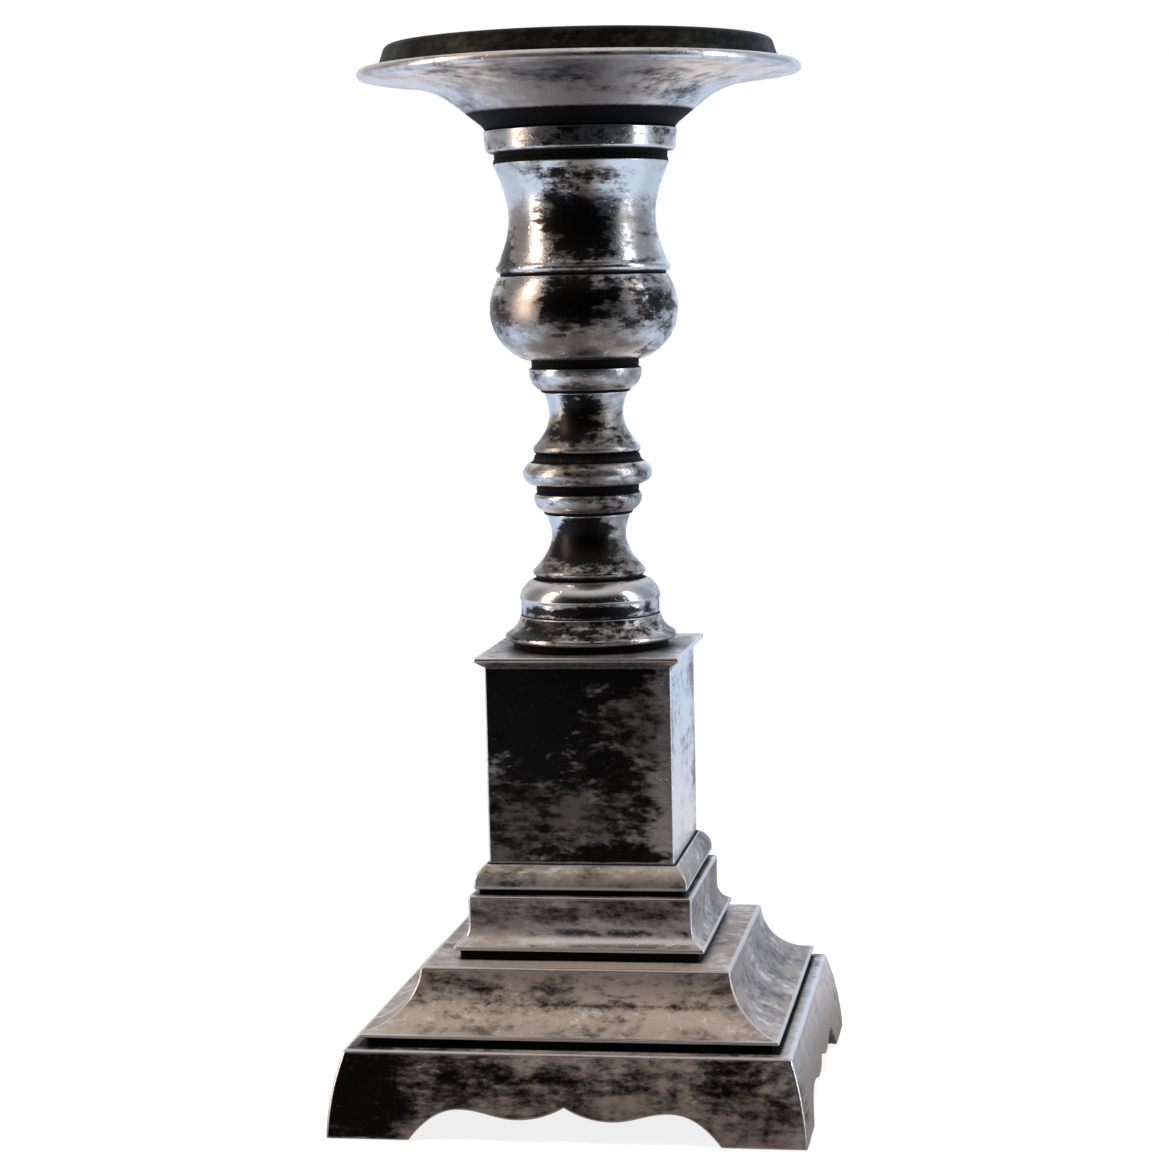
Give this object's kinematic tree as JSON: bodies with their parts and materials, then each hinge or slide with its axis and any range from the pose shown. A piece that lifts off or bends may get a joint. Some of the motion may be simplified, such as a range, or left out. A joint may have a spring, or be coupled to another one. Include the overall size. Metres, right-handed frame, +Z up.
{
  "type": "candlestick",
  "caption": "Tiered silver candlestick: square stepped base on bracket feet, turned baluster stem, vase socket and a lift-off nozzle with a round drip pan.",
  "frame": {"origin": "centre of the square base, on the plane that the feet stand on", "axes": "+Z up along the axis of the stick; -Y is a flat side of the base, the front"},
  "size_m": [0.0972, 0.0972, 0.22],
  "materials": {
    "silver_base": "satin",
    "silver_pedestal": "satin",
    "silver_turned": "gloss",
    "silver_socket": "gloss",
    "silver_pan": "satin",
    "silver_nozzle": "satin",
    "blackened_silver": "satin",
    "brass_tube": "satin",
    "iron_plate": "matte",
    "steel_fastener": "satin"
  },
  "bodies": {
    "stick": {"base_skirt": "silver_base", "base_bridge": "iron_plate", "lower_step": "silver_base", "upper_step": "silver_base", "die_moulding": "silver_base", "pedestal_die": "silver_pedestal", "plinth_cap": "silver_pedestal", "stem_foot": "silver_turned", "foot_ring": "silver_turned", "lower_neck": "silver_turned", "lower_ring": "silver_turned", "knop": "silver_turned", "upper_neck": "silver_turned", "stem_flange": "silver_turned", "socket_bulb": "silver_socket", "socket_vase": "silver_socket", "socket_collar": "silver_socket", "socket_liner": "brass_tube", "tie_rod": "steel_fastener", "top_washer": "steel_fastener", "top_nut": "steel_fastener", "bottom_washer": "steel_fastener", "bottom_nut": "steel_fastener"},
    "nozzle": {"drip_pan": "silver_pan", "pan_ring": "blackened_silver", "nozzle_sleeve": "silver_nozzle", "nozzle_floor": "silver_nozzle"}
  },
  "joints": [
    {"name": "nozzle_lift", "type": "slide", "parent": "stick", "child": "nozzle", "axis": [0, 0, 1], "range_m": [0, 0.03]}
  ]
}
